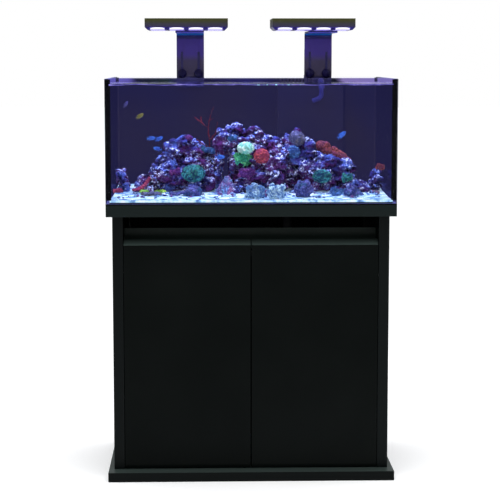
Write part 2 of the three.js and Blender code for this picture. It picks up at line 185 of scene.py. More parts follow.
class Look:
    """A procedural material built around one Principled shader, in row-frame metres."""

    def __init__(self, name, roughness=0.5, metallic=0.0, specular=0.5):
        self.material = bpy.data.materials.new(name)
        self.material.use_nodes = True
        self.tree = self.material.node_tree
        self.shader = self.tree.nodes["Principled BSDF"]
        self.output = self.tree.nodes["Material Output"]
        self.shader.inputs["Roughness"].default_value = roughness
        self.shader.inputs["Metallic"].default_value = metallic
        self.shader.inputs["Specular IOR Level"].default_value = specular
        self.coordinates = self.tree.nodes.new("ShaderNodeTexCoord").outputs["Object"]

    def node(self, kind, links=(), **values):
        node = self.tree.nodes.new("ShaderNode" + kind)
        for key, value in values.items():
            setattr(node, key, value)
        for socket, source in dict(links).items():
            self.put(node.inputs[socket], source)
        return node

    def put(self, socket, source):
        if isinstance(source, bpy.types.NodeSocket):
            self.tree.links.new(source, socket)
        elif isinstance(source, tuple) and len(source) == 3 and socket.type == "RGBA":
            socket.default_value = (*source, 1)
        else:
            socket.default_value = source

    def stretched(self, scale):
        return self.node("Mapping", {"Vector": self.coordinates, "Scale": scale}).outputs[0]

    def noise(self, scale, detail=3.0, roughness=0.5, stretch=None):
        vector = self.stretched(stretch) if stretch else self.coordinates
        links = {"Vector": vector, "Scale": scale, "Detail": detail, "Roughness": roughness}
        return self.node("TexNoise", links).outputs["Fac"]

    def cells(self, scale):
        return self.node("TexVoronoi", {"Vector": self.coordinates, "Scale": scale}).outputs["Distance"]

    def two_tone(self, factor, first, second):
        """One colour in the pattern's low parts and another in its high parts."""
        return self.ramp(factor, [(0.3, first), (0.7, second)])

    def ramp(self, factor, stops):
        node = self.node("ValToRGB", {"Fac": factor})
        band = node.color_ramp
        band.elements.remove(band.elements[1])
        for number, (position, colour) in enumerate(stops):
            element = band.elements.new(position) if number else band.elements[0]
            element.position = position
            element.color = (*colour, 1) if isinstance(colour, tuple) else (colour, colour, colour, 1)
        return node.outputs["Color"]

    def mix(self, factor, a, b, blend="MIX"):
        node = self.node("Mix", data_type="RGBA", blend_type=blend)
        self.put(node.inputs["Factor"], factor)
        self.put(node.inputs[6], a)
        self.put(node.inputs[7], b)
        return node.outputs[2]

    def shade(self, colour, amount):
        """The colour darkened, or lightened, by a grey amount."""
        grey = self.node("CombineColor", {0: amount, 1: amount, 2: amount}).outputs[0]
        return self.mix(1.0, colour, grey, "MULTIPLY")

    def maths(self, operation, a, b=0.0):
        node = self.node("Math", operation=operation)
        self.put(node.inputs[0], a)
        self.put(node.inputs[1], b)
        return node.outputs[0]

    def times(self, a, b):
        return self.maths("MULTIPLY", a, b)

    def plus(self, a, b):
        return self.maths("ADD", a, b)

    def minus(self, a, b):
        return self.maths("SUBTRACT", a, b)

    def over(self, value, limit):
        return self.maths("GREATER_THAN", value, limit)

    def blend(self, factor, a, b):
        """One shader fading into another."""
        return self.node("MixShader", {"Fac": factor, 1: a, 2: b}).outputs[0]

    def clear(self, tint):
        return self.node("BsdfTransparent", {"Color": tint}).outputs[0]

    def gloss(self, tint):
        return self.node("BsdfGlossy", {"Color": tint, "Roughness": 0.02}).outputs[0]

    def grazing(self):
        """Nought face on, one edge on."""
        return self.node("LayerWeight", {"Blend": 0.5}).outputs["Facing"]

    def vary(self, pattern, low, high):
        """A value that follows a pattern between two others."""
        return self.spread(pattern, 0.3, 0.7, low, high)

    def spread(self, value, low, high, to_low=0.0, to_high=1.0):
        links = {"Value": value, "From Min": low, "From Max": high, "To Min": to_low, "To Max": to_high}
        return self.node("MapRange", links).outputs["Result"]

    def along(self, axis):
        return self.node("SeparateXYZ", {"Vector": self.coordinates}).outputs[axis]

    def facing(self, axis):
        normal = self.node("NewGeometry").outputs["Normal"]
        return self.node("SeparateXYZ", {"Vector": normal}).outputs[axis]

    def attribute(self, name):
        return self.node("Attribute", attribute_name=name).outputs["Fac"]

    def colour(self, source):
        self.put(self.shader.inputs["Base Color"], source)
        return self

    def rough(self, source):
        self.put(self.shader.inputs["Roughness"], source)
        return self

    def bump(self, height, strength=0.3, distance=0.5 * MM):
        links = {"Height": height, "Strength": strength, "Distance": distance}
        self.put(self.shader.inputs["Normal"], self.node("Bump", links).outputs["Normal"])
        return self

    def glow(self, colour, strength):
        self.put(self.shader.inputs["Emission Color"], colour)
        self.shader.inputs["Emission Strength"].default_value = strength
        return self

    def surface(self, shader):
        self.tree.links.new(shader, self.output.inputs["Surface"])
        return self


def lacquer():
    """Black gloss lacquer, with a painted highlight on the sloping finger pull along the door tops, which
    catches more light than the faces.
    """
    look = Look("black_lacquer", roughness=0.12, specular=0.035)
    deep = look.ramp(look.noise(3), [(0.35, (0.0016, 0.0026, 0.0023)), (0.7, (0.003, 0.0042, 0.0038))])
    slope_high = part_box("door_left")[1].z
    slope_low = slope_high - 18 * MM
    near_foot = look.spread(look.along("Z"), slope_low, slope_high, 1.0, 0.12)
    # painted highlight: the upward-facing finger pull is painted paler, most near its foot
    slope_highlight = look.times(look.spread(look.facing("Z"), 0.15, 0.5), near_foot)
    look.colour(look.mix(slope_highlight, deep, (0.048, 0.068, 0.062)))
    look.rough(look.vary(look.noise(40), 0.08, 0.18))
    return look.bump(look.noise(60, 2), 0.05, 0.3 * MM)


def lightened_rail_lacquer():
    """The set-back rail: the same lacquer painted a little paler, as painted light in the shade of the
    worktop.
    """
    look = Look("rail_lacquer", roughness=0.2, specular=0.05)
    # painted light: paler than the door lacquer
    look.colour(look.ramp(look.noise(3), [(0.35, (0.018, 0.027, 0.023)), (0.7, (0.024, 0.034, 0.03))]))
    look.rough(look.vary(look.noise(40), 0.15, 0.28))
    return look.bump(look.noise(60, 2), 0.05, 0.3 * MM)


def board(name, tone):
    """Satin black laminate, slightly greenish, with a fine pearl, a painted highlight on its upward face and
    a painted brightness per board.
    """
    look = Look(name, roughness=0.35, specular=0.07)
    fine = look.noise(900, 2)
    # tone is painted light: how pale this board is painted for the light it catches
    dark = tuple(tone * c for c in (0.0068, 0.0112, 0.011))
    light = tuple(tone * c for c in (0.0094, 0.0146, 0.0142))
    body = look.ramp(fine, [(0.35, dark), (0.65, light)])
    # painted highlight: upward faces painted paler
    up = look.spread(look.facing("Z"), 0.5, 0.9)
    look.colour(look.mix(up, body, (0.034, 0.047, 0.043)))
    look.rough(look.vary(look.noise(25), 0.34, 0.38))
    return look.bump(fine, 0.12, 0.15 * MM)


def foam():
    look = Look("foam", roughness=0.95, specular=0.02)
    pores = look.cells(900)
    look.colour(look.ramp(pores, [(0.1, 0.0008), (0.6, 0.0025)]))
    return look.bump(pores, 0.5, 0.4 * MM)


# Name, roughness, gloss, scale and two colours of its mottling, then its grain: scale, detail, strength
# and depth in mm.
PLAIN_LOOKS = {
    "rubber": ("black_rubber", 0.6, 0.3, 600, 0.01, 0.022, 600, 3, 0.25, 0.2),
    "silicone": ("silicone", 0.4, 0.05, 80, (0.0012, 0.0012, 0.002), (0.0025, 0.0025, 0.004),
                 150, 2, 0.3, 0.4),
    "pipe": ("grey_pipe", 0.4, 0.4, 30, (0.085, 0.09, 0.1), (0.12, 0.125, 0.14), 200, 3, 0.1, 0.2),
    "knob": ("knob", 0.4, 0.12, 200, (0.003, 0.002, 0.01), (0.006, 0.004, 0.024), 500, 3, 0.1, 0.1),
}


def plain(name, roughness, gloss, scale, dark, light, grain, detail, strength, depth):
    look = Look(name, roughness, specular=gloss)
    look.colour(look.two_tone(look.noise(scale), dark, light))
    return look.bump(look.noise(grain, detail), strength, depth * MM)


def steel():
    look = Look("nickel_steel", roughness=0.3, metallic=1.0)
    brushed = look.noise(120, 4, stretch=(1, 1, 14))
    look.colour(look.two_tone(brushed, (0.5, 0.51, 0.5), (0.68, 0.69, 0.67)))
    look.rough(look.vary(brushed, 0.2, 0.38))
    return look.bump(brushed, 0.1, 0.1 * MM)


def glass(name, tint, edge, holds_reef=False):
    """Thin clear pane: see-through face on, mirror-like at a grazing angle, with coloured polished edges.

    In the reef tank, panes seen from inside below the water line get a painted reflection of dim blue water:
    a dim blue gloss and a blue glow.
    """
    look = Look(name)
    mirror = look.ramp(look.grazing(), [(0.0, 0.0006), (0.62, 0.006), (0.86, 1.0)])
    smear = look.spread(look.noise(7), 0.35, 0.7, 0.0, 0.0008)
    shine = look.gloss((0.9, 0.92, 1.0))
    if holds_reef:
        outward = look.plus(look.times(look.facing("X"), look.along("X")),
                            look.times(look.facing("Y"), look.along("Y")))
        deep = look.spread(look.along("Z"), WATER_LEVEL - 1 * MM, WATER_LEVEL + 1 * MM, 1.0, 0.0)
        wet = look.times(look.maths("LESS_THAN", outward, 0.0), deep)
        # painted reflection of the water: a blue glow with a dim blue gloss, on inner faces below the water
        # line
        blue = look.node("Emission", {"Color": (0.019, 0.0165, 0.05)}).outputs[0]
        dim = look.node("AddShader", {0: look.gloss((0.03, 0.027, 0.085)), 1: blue}).outputs[0]
        shine = look.blend(wet, shine, dim)
    pane = look.blend(look.plus(mirror, smear), look.clear(tint), shine)
    look.colour(edge)
    look.rough(0.25)
    top = look.over(look.facing("Z"), 0.9)
    return look.surface(look.blend(top, pane, look.shader.outputs[0]))


def indigo(name, strength, roughness=0.7):
    """A painted glow: the deep blue-violet of lamp-lit open water in front of a black backing."""
    look = Look(name, roughness=roughness, specular=0.05)
    cloudy = look.spread(look.noise(3, 2), 0.35, 0.65)
    tone = look.mix(cloudy, (0.024, 0.0205, 0.061), (0.031, 0.024, 0.052))
    look.colour(look.mix(0.8, tone, BLACK))
    # painted glow of lamp-lit water
    look.glow(tone, strength)
    return look.bump(look.noise(300, 2), 0.05, 0.2 * MM)


def above_water(look):
    """Painted light by place across the tank just over the water: pale at both ends, dark between."""
    wander = look.vary(look.noise(9), -0.02, 0.02)
    across = look.spread(look.plus(look.along("X"), wander), -INNER_X, INNER_X)
    return look.ramp(across, [
        (0.0, (0.15, 0.125, 0.48)), (0.05, (0.13, 0.105, 0.42)), (0.08, (0.008, 0.008, 0.022)),
        (0.2, (0.01, 0.022, 0.016)), (0.26, (0.022, 0.015, 0.095)), (0.36, (0.008, 0.007, 0.03)),
        (0.5, (0.015, 0.012, 0.095)), (0.66, (0.006, 0.006, 0.014)), (0.84, (0.005, 0.007, 0.01)),
        (0.87, (0.27, 0.2, 0.45)), (1.0, (0.24, 0.19, 0.48))])


def background():
    """A painted glow: blue-violet from inside the tank, dark and patchy above the water; black from behind.
    """
    look = indigo("background_film", 0.95)
    inside = look.shader.inputs["Emission Color"].links[0].from_socket
    high = look.spread(look.along("Z"), WATER_LEVEL - 1 * MM, WATER_LEVEL + 1 * MM)
    behind = look.over(look.facing("Y"), 0.3)
    glowing = look.mix(behind, look.mix(high, inside, above_water(look)), BLACK)
    look.put(look.shader.inputs["Emission Color"], glowing)
    look.colour(look.mix(0.15, (0.0025, 0.0025, 0.004), inside))
    return look


def sunken_pipe():
    """The return pipe and nozzle: painted deep blue with a painted glow inside the tank for the blue light
    there; plain dark grey below it.
    """
    look = Look("nozzle", roughness=0.45, specular=0.1)
    in_tank = look.spread(look.along("Z"), FLOOR_OF_TANK, FLOOR_OF_TANK + 1 * MM)
    blue = look.two_tone(look.noise(25), (0.02, 0.018, 0.085), (0.034, 0.029, 0.13))
    look.colour(look.mix(in_tank, (0.01, 0.01, 0.012), look.mix(0.5, blue, BLACK)))
    # painted glow inside the tank only
    look.glow(look.mix(in_tank, BLACK, blue), 0.75)
    return look.bump(look.noise(200), 0.1, 0.2 * MM)


def sand_seen_from_below():
    """The bottom pane: painted with the lit sand that lies on it and a stronger painted glow; a dark band
    runs round its foot.
    """
    look = sand("bottom_pane")
    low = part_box("glass_base")[0]
    dark_foot = look.spread(look.along("Z"), low.z + 3.2 * MM, low.z + 4.2 * MM)
    for socket in ("Base Color", "Emission Color"):
        above = look.shader.inputs[socket].links[0].from_socket
        look.put(look.shader.inputs[socket], look.mix(dark_foot, (0.001, 0.001, 0.002), above))
    # painted glow, stronger than the sand's own
    look.shader.inputs["Emission Strength"].default_value = 0.5
    return look


def felt():
    look = Look("felt", roughness=0.95, specular=0.1)
    fibre = look.noise(700, 5, 0.7)
    look.colour(look.two_tone(fibre, (0.42, 0.41, 0.37), (0.72, 0.71, 0.66)))
    look.shader.inputs["Sheen Weight"].default_value = 0.3
    return look.bump(fibre, 0.6, 0.6 * MM)


def sand(name):
    """White reef sand with a few dark specks, painted patches of blue shadow and pale lamp light, and a
    painted glow.
    """
    look = Look(name, roughness=0.9, specular=0.1)
    grain = look.noise(420, 3, 0.7)
    patch = look.noise(34, 4, 0.6)
    # painted light and shade: patches from blue shadow to pale light
    tone = look.ramp(patch, [
        (0.34, (0.07, 0.13, 0.36)), (0.42, (0.22, 0.42, 0.66)),
        (0.52, (0.66, 0.9, 0.9)), (0.65, (1.0, 1.0, 0.92))])
    look.colour(look.mix(look.spread(grain, 0.32, 0.43), (0.05, 0.08, 0.18), tone))
    # painted glow
    look.glow(look.mix(0.3, tone, (0.22, 0.5, 0.55)), 0.16)
    return look.bump(grain, 0.7, 1.2 * MM)


def rock():
    """Live rock: violet and blue crust, magenta patches, painted blue-white highlight specks on top, painted
    shade in dark pits and a painted glow.
    """
    look = Look("live_rock", roughness=0.85, specular=0.15)
    plum = look.ramp(look.noise(30), [(0.4, (0.02, 0.008, 0.042)), (0.6, (0.12, 0.028, 0.15))])
    blue = look.ramp(look.noise(26), [
        (0.38, (0.02, 0.018, 0.085)), (0.5, (0.06, 0.048, 0.25)), (0.62, (0.095, 0.15, 0.48))])
    # painted light: upward faces lean to the bluer crust
    lit = look.times(look.facing("Z"), 0.09)
    crust = look.mix(look.spread(look.plus(look.noise(10), lit), 0.46, 0.6), plum, blue)
    grain = look.vary(look.noise(240, 3, 0.7), 0.35, 1.25)
    mottled = look.shade(crust, grain)
    # painted highlights: blue-white specks, mostly on upward faces
    up = look.spread(look.facing("Z"), -0.3, 0.5, 0.1, 1.0)
    cluster = look.times(look.spread(look.noise(24, 2), 0.44, 0.58), up)
    speck = look.times(look.spread(look.noise(130, 3, 0.65), 0.5, 0.57), cluster)
    pale = look.ramp(look.noise(60), [(0.4, (0.2, 0.3, 0.86)), (0.58, (0.86, 0.9, 1.0))])
    skin = look.mix(speck, mottled, pale)
    # painted shade: darker in the pits
    pit_shade = look.spread(look.attribute("cavity"), 0.18, 0.58, 0.05, 1.0)
    shaded = look.shade(skin, pit_shade)
    # painted glow
    look.colour(shaded).glow(shaded, 0.25)
    return look.bump(look.noise(260, 4, 0.7), 0.7, 1.5 * MM)


def rubble_stone():
    """Broken coral of many kinds: pale cyan, lilac, blue-grey and rose."""
    look = Look("rubble", roughness=0.85, specular=0.15)
    kind = look.noise(38, 1)
    tone = look.ramp(kind, [
        (0.34, (0.05, 0.045, 0.2)), (0.43, (0.13, 0.2, 0.5)), (0.5, (0.45, 0.7, 0.92)),
        (0.57, (0.16, 0.12, 0.38)), (0.64, (0.35, 0.12, 0.22)), (0.7, (0.2, 0.36, 0.4))])
    grain = look.vary(look.noise(300, 3, 0.7), 0.4, 1.1)
    look.colour(look.shade(tone, grain))
    return look.bump(look.noise(260, 4, 0.7), 0.7, 1.5 * MM)


def housing(side):
    """Dark anodised aluminium: olive grey above, turning to the painted violet of the light spilling below.
    """
    low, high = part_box(f"light_housing_{side}")
    look = Look(f"light_housing_{side}", roughness=0.4, specular=0.12)
    height = look.spread(look.along("Z"), low.z, high.z)
    brushed = look.noise(90, stretch=(1, 8, 8))
    # painted light: violet towards the bottom, olive grey at the top
    tone = look.ramp(height, [
        (0.0, (0.03, 0.016, 0.18)), (0.2, (0.026, 0.016, 0.15)), (0.32, (0.036, 0.03, 0.072)),
        (0.55, (0.042, 0.04, 0.052)), (0.78, (0.044, 0.046, 0.016)), (1.0, (0.046, 0.051, 0.011))])
    look.colour(look.mix(look.vary(brushed, 0.0, 0.25), tone, (0.02, 0.02, 0.02)))
    look.rough(look.vary(brushed, 0.32, 0.48))
    return look.bump(brushed, 0.08, 0.1 * MM)


def lens(side):
    """Lit diffuser: white in the middle of each window, violet towards its upper corners and lower lip."""
    low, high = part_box(f"light_lens_{side}")
    windows = 4
    width = high.x - low.x
    pitch = (width - 46 * MM) / (windows - 1)
    look = Look(f"lit_lens_{side}", roughness=0.2, specular=0.2)
    cell = look.maths("DIVIDE", look.minus(look.along("X"), low.x), pitch)
    off = look.maths("ABSOLUTE", look.minus(look.maths("FRACT", cell), 23 * MM / pitch))
    up = look.spread(look.along("Z"), low.z, high.z)
    corner = look.plus(look.maths("POWER", look.times(off, 2.55), 3.0), look.maths("POWER", up, 3.0))
    lit = look.spread(corner, 0.75, 1.05, 1.0, 0.0)
    lip = look.spread(up, 0.16, 0.34, 0.0, 1.0)
    tone = look.mix(look.times(lit, lip), (0.16, 0.12, 0.45), (1.0, 0.98, 1.0))
    look.colour(look.mix(0.6, tone, BLACK))
    return look.glow(tone, 1.05)


def bracket(side, part):
    """Dark anodised strap: painted violet where the light grazes it, with a painted bright blue line under
    the light.
    """
    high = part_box(f"light_arm_{side}")[1]
    look = Look(f"light_{part}_{side}", roughness=0.35, specular=0.2)
    look.bump(look.noise(200), 0.08, 0.15 * MM)
    height = look.spread(look.along("Z"), RIM, high.z)
    # painted light: a violet band where the light grazes the strap
    tone = look.ramp(height, [
        (0.0, (0.02, 0.015, 0.024)), (0.36, (0.024, 0.018, 0.032)), (0.5, (0.026, 0.014, 0.085)),
        (0.83, (0.028, 0.015, 0.105)), (0.86, (0.01, 0.006, 0.055)), (1.0, (0.008, 0.006, 0.05))])
    if part == "clamp":
        # painted light: clamp faces turned into the tank are painted violet and glow
        inside = look.spread(look.facing("Y"), -0.5, 0.2, 1.0, 0.0)
        tone = look.mix(inside, (0.014, 0.013, 0.018), (0.02, 0.016, 0.055))
        look.colour(look.mix(look.vary(look.noise(60), 0.0, 0.3), tone, (0.008, 0.007, 0.012)))
        return look.glow(tone, 0.2)
    # painted highlight: a bright blue glowing line on the underside under the light
    under = look.times(look.spread(look.facing("Z"), -0.6, -0.9),
                       look.spread(look.along("Y"), high.y - 120 * MM, high.y - 60 * MM))
    lit = look.mix(under, tone, (0.002, 0.075, 0.28))
    return look.colour(lit).glow(lit, 0.35)


def water_look():
    """The water's skin: clear from above, and a patchy pale sheen at a low angle that is painted on as a
    glow.
    """
    look = Look("sea_water", roughness=0.05, specular=0.3)
    clear = look.clear((0.84, 0.88, 0.99))
    # painted glints and sheen, glowing
    glint = look.spread(look.noise(60, 3, 0.6, stretch=(1, 0.4, 1)), 0.6, 0.68)
    tone = look.mix(glint, above_water(look), (0.2, 0.24, 0.6))
    look.colour(look.mix(0.85, tone, BLACK))
    look.glow(tone, 0.8)
    look.bump(look.noise(35), 0.5, 2 * MM)
    cover = look.ramp(look.grazing(), [(0.3, 0.05), (0.75, 0.14), (0.93, 0.4), (0.985, 0.95)])
    top = look.blend(cover, clear, look.shader.outputs[0])
    is_top = look.over(look.facing("Z"), 0.4)
    return look.surface(look.blend(is_top, clear, top))


# ---------------------------------------------------------------- CAD nodes

def soften(node, width):
    """Rounds a CAD node's edges and shades its round faces smooth; its own mesh stays as it is."""
    for polygon in node.data.polygons:
        polygon.use_smooth = True
    node.modifiers.new("weld", "WELD").merge_threshold = 0.01 * MM
    bevel = node.modifiers.new("edges", "BEVEL")
    bevel.width = width
    bevel.segments = 2
    bevel.limit_method = "ANGLE"
    bevel.angle_limit = math.radians(40)
    node.modifiers.new("shading", "WEIGHTED_NORMAL")


# Painted light: how pale each black board is painted; the worktop edge catches the most light.
BOARD_PAINTED_LIGHT = {"top_board": 0.9, "side_panel_left": 0.28, "side_panel_right": 0.36, "plinth_board": 0.26}
PLAIN_EDGE = 0.3
EDGE_WIDTHS = {"lacquer": 1.0, "board": 1.2, "glass": 0.6, "light_housing": 1.2, "light_bracket": 0.5,
               "steel": 0.5, "rubber": 0.8, "foam": 0.4}


def dress_cad_nodes():
    shared = {slot: plain(*row) for slot, row in PLAIN_LOOKS.items()}
    shared.update({
        "lacquer": lacquer(), "foam": foam(), "steel": steel(), "felt": felt(), "rock": rock(),
        "glass": glass("clear_glass", (0.97, 0.975, 1.0), (0.2, 0.21, 0.5), holds_reef=True),
        # the dark acrylic parts get the same painted glow of lamp-lit water
        "background": background(), "black_acrylic": indigo("dark_acrylic", 0.86, 0.4),
        "sand": sand("reef_sand"),
    })
    special = {"glass_base": sand_seen_from_below(), "fascia_rail": lightened_rail_lacquer()}
    special.update(dict.fromkeys(("return_nozzle", "return_riser"), sunken_pipe()))
    # the rear silicone shows that painted glow too
    special.update(dict.fromkeys(("silicone_rear_left", "silicone_rear_right"), shared["black_acrylic"]))
    sump_glass = glass("sump_glass", (0.93, 0.96, 0.955), (0.1, 0.2, 0.18))
    special.update(dict.fromkeys(("sump_tank", "sump_baffle_left", "sump_baffle_right"), sump_glass))
    for part in frame["record"]["subparts"]:
        name, finish = part["node"], part["material_slot"]
        node = frame["nodes"][name]
        side = "left" if "left" in name else "right"
        if finish == "light_housing":
            look = housing(side)
        elif finish == "light_bracket":
            look = bracket(side, "clamp" if "clamp" in name else "arm")
        elif finish == "light_lens":
            look = lens(side)
        elif finish == "board":
            look = board("laminate_" + name, BOARD_PAINTED_LIGHT.get(name, 0.5))
        elif name in special:
            look = special[name]
        else:
            look = shared[finish]
        node.data.materials.clear()
        node.data.materials.append(look.material)
        soften(node, EDGE_WIDTHS.get(finish, PLAIN_EDGE) * MM)
    return shared


# ---------------------------------------------------------------- building pieces

def add_piece(name, bm, look, stands_for=()):
    """Turns a bmesh in row-frame metres into a piece that rides on the tank and cabinet."""
    return add_mesh(name, mesh_of(name, bm), look, stands_for)


def add_mesh(name, mesh, look, stands_for=()):
    for polygon in mesh.polygons:
        polygon.use_smooth = True
    mesh.materials.clear()
    mesh.materials.append(look.material)
    piece = placed(name, mesh)
    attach(piece, ROOT)
    if stands_for:
        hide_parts(*stands_for)
    return piece


def flat_sides(piece):
    """Smooth shading on the top of a bed only, so its upright sides keep their own direction."""
    for polygon in piece.data.polygons:
        polygon.use_smooth = polygon.normal.z > 0.5
    return piece


def fused(blobs, voxel):
    """One closed skin over many ellipsoids, given as (centre, half sizes, rotation)."""
    bm = bmesh.new()
    for centre, size, turn in blobs:
        matrix = Matrix.Translation(centre) @ Euler(turn).to_matrix().to_4x4() @ Matrix.Diagonal((*size, 1))
        bmesh.ops.create_icosphere(bm, subdivisions=3, radius=1, matrix=matrix)
    scratch = placed("fusing", mesh_of("fusing", bm))
    remesh = scratch.modifiers.new("skin", "REMESH")
    remesh.mode = "VOXEL"
    remesh.voxel_size = voxel
    depsgraph = bpy.context.evaluated_depsgraph_get()
    skin = bpy.data.meshes.new_from_object(scratch.evaluated_get(depsgraph))
    bpy.data.objects.remove(scratch)
    return skin


def join_rings(bm, rings):
    """Joins a row of rings of vertices into one closed body with flat ends."""
    for first, second in zip(rings, rings[1:]):
        for a in range(len(first)):
            b = (a + 1) % len(first)
            bm.faces.new((first[a], first[b], second[b], second[a]))
    bm.faces.new(list(reversed(rings[0])))
    bm.faces.new(rings[-1])
    bmesh.ops.recalc_face_normals(bm, faces=bm.faces)


def smooth_step(value, low, high):
    t = min(max((value - low) / (high - low), 0.0), 1.0)
    return t * t * (3 - 2 * t)


def weather(mesh, push, cavity_scale):
    """Moves each vertex along its normal by push(position), and keeps how deep it went for the painted shade
    in hollows.
    """
    mesh.calc_loop_triangles()
    normals = [vertex.normal.copy() for vertex in mesh.vertices]
    cavity = mesh.attributes.new("cavity", "FLOAT", "POINT")
    for index, vertex in enumerate(mesh.vertices):
        amount = push(vertex.co)
        vertex.co += normals[index] * amount
        cavity.data[index].value = min(max(0.5 + amount / cavity_scale, 0.0), 1.0)


def rock_relief(position):
    """Knobbly live rock: broad lumps, overlapping shelves and small pits."""
    lumps = 7 * MM * noise.noise(position * 30)
    shelves = 5 * MM * noise.noise(Vector((position.x * 45, position.y * 45, position.z * 100)))
    knobs = 6 * MM * (0.35 - abs(noise.noise(position * 62))) + 3.5 * MM * noise.noise(position * 120)
    pits = noise.voronoi(position * 70)[0][0]
    pores = noise.voronoi(position * 165)[0][0]
    return lumps + shelves + knobs - 9 * MM * (1 - smooth_step(pits, 0.05, 0.42)) + 3 * MM * (pores - 0.4)


# ---------------------------------------------------------------- sand and rock

def sand_height(x, y):
    """Slopes gently up to the back, with shallow dunes and small lumps."""
    back = (y - SAND_LOW.y) / (SAND_HIGH.y - SAND_LOW.y)
    dunes = 2.5 * MM * noise.noise(Vector((x * 14, y * 14, 0)))
    lumps = 1.4 * MM * noise.noise(Vector((x * 70, y * 70, 3)))
    return SAND_HIGH.z - 18 * MM * (1 - back) + dunes + lumps


def bed(low, high, step, height, skip=None):
    """A closed slab between two corners: height(x, y) shapes its top, and skip(x, y) notches its plan."""
    columns = round((high.x - low.x) / step)
    rows = round((high.y - low.y) / step)
    bm = bmesh.new()
    grid = {}

    def corner(i, j):
        if (i, j) not in grid:
            x = low.x + (high.x - low.x) * i / columns
            y = low.y + (high.y - low.y) * j / rows
            grid[i, j] = bm.verts.new((x, y, height(x, y)))
        return grid[i, j]

    for i in range(columns):
        for j in range(rows):
            x = low.x + (high.x - low.x) * (i + 0.5) / columns
            y = low.y + (high.y - low.y) * (j + 0.5) / rows
            if not (skip and skip(x, y)):
                bm.faces.new((corner(i, j), corner(i + 1, j), corner(i + 1, j + 1), corner(i, j + 1)))
    rim = [edge for edge in bm.edges if edge.is_boundary]
    skirt = bmesh.ops.extrude_edge_only(bm, edges=rim)["geom"]
    for vertex in (item for item in skirt if isinstance(item, bmesh.types.BMVert)):
        vertex.co.z = low.z
    bmesh.ops.holes_fill(bm, edges=[edge for edge in bm.edges if edge.is_boundary], sides=0)
    bmesh.ops.recalc_face_normals(bm, faces=bm.faces)
    return bm


def make_sand(look):
    """The whole bed as one closed body, with a notch where the weir box stands."""
    step = 3.2 * MM
    weir_low, weir_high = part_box("weir_box")

    def in_weir(x, y):
        return weir_low.x - step < x < weir_high.x + step and y > weir_low.y - step - 1 * MM

    bm = bed(SAND_LOW, SAND_HIGH, step, sand_height, in_weir)
    flat_sides(add_piece("reef_sand", bm, look, stands_for=("sand_bed",)))


# How high each pile stands along its width, both as fractions of its CAD box.
ROCK_PROFILES = {
    "rock_left": [(0.0, 0.1), (0.26, 0.55), (0.4, 0.82), (0.57, 0.98), (0.73, 1.0),
                  (0.9, 0.86), (1.0, 0.78)],
    "rock_middle": [(0.0, 0.8), (0.12, 0.93), (0.45, 1.0), (0.76, 0.84), (0.9, 0.86), (1.0, 0.8)],
    "rock_right": [(0.0, 0.97), (0.06, 1.0), (0.2, 0.92), (0.36, 0.74), (0.78, 0.5),
                   (0.93, 0.2), (1.0, 0.05)],
}


def height_along(profile, across):
    for (x0, z0), (x1, z1) in zip(profile, profile[1:]):
        if across <= x1:
            return z0 + (z1 - z0) * (across - x0) / (x1 - x0)
    return profile[-1][1]


def in_cave(x, z, margin):
    """The gap between the left and middle piles, under the bridge of stones that joins their tops."""
    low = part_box("rock_middle")[0]
    across = (x - low.x - 34 * MM) / (15 * MM + margin)
    up = (z - low.z - 70 * MM) / (48 * MM + margin)
    return across * across + up * up < 1


def pile_of_lumps(node, chance):
    """Stones stacked up to a CAD rock's profile, each course set back from the one below.

    Tall cores come first, then broad flat ledges, then smaller stones over both.
    """
    low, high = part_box(node)
    size = high - low
    blobs = []
    hearts = 13
    for number in range(hearts):
        across = (number + 0.5) / hearts
        half_up = size.z * height_along(ROCK_PROFILES[node], across) * 0.5 - 9 * MM
        centre = (low.x + size.x * across, low.y + size.y * 0.58, low.z + half_up)
        if not in_cave(centre[0], low.z + 70 * MM, 6 * MM):
            blobs.append((centre, (size.x * 0.06, size.y * 0.34, max(half_up, 12 * MM)), UNTURNED))
    for _ in range(14):
        across = chance.uniform(0.05, 0.95)
        radius = chance.uniform(24, 38) * MM
        up = height_along(ROCK_PROFILES[node], across) * size.z * chance.uniform(0.25, 0.88)
        x, y = low.x + size.x * across, low.y + radius * 0.9 + size.y * 0.36 * up / size.z
        turn = (chance.uniform(-0.3, 0.5), chance.uniform(-0.4, 0.4), chance.uniform(0, math.pi))
        if not in_cave(x, low.z + up, radius * 0.7):
            blobs.append(((x, y, low.z + up), (radius, radius * 0.9, radius * 0.36), turn))
    for _ in range(150):
        across = chance.uniform(-0.03, 1.03)
        radius = chance.choice((9, 12, 15, 19, 24)) * chance.uniform(0.85, 1.15) * MM
        top = height_along(ROCK_PROFILES[node], max(across, 0)) * size.z
        up = max(top * chance.random() ** 0.6 - radius * 0.8, 2 * MM)
        x = low.x + radius * 0.6 + (size.x - 1.2 * radius) * across
        y = low.y + radius + (size.y - 2 * radius) * (0.42 * up / size.z + chance.random() ** 1.6 * 0.5)
        squat = chance.uniform(0.38, 0.85)
        turn = (chance.uniform(-0.8, 0.8), chance.uniform(-0.9, 0.9), chance.uniform(0, math.pi))
        if not in_cave(x, low.z + up, radius * 0.6):
            blobs.append(((x, y, low.z + up), (radius * 1.4, radius, radius * squat), turn))
    return blobs


def make_rocks(look):
    chance = random.Random(4)
    rocks = []
    for node in ROCK_PROFILES:
        skin = fused(pile_of_lumps(node, chance), 2.6 * MM)
        weather(skin, rock_relief, 24 * MM)
        rocks.append(add_mesh("live_" + node, skin, look, stands_for=(node,)))
    return rocks


def skin_of(pieces):
    """A tree to cast rays at, over several pieces that stand where they were made."""
    bm = bmesh.new()
    for piece in pieces:
        bm.from_mesh(piece.data)
    tree = BVHTree.FromBMesh(bm)
    bm.free()
    return tree


# ---------------------------------------------------------------- corals

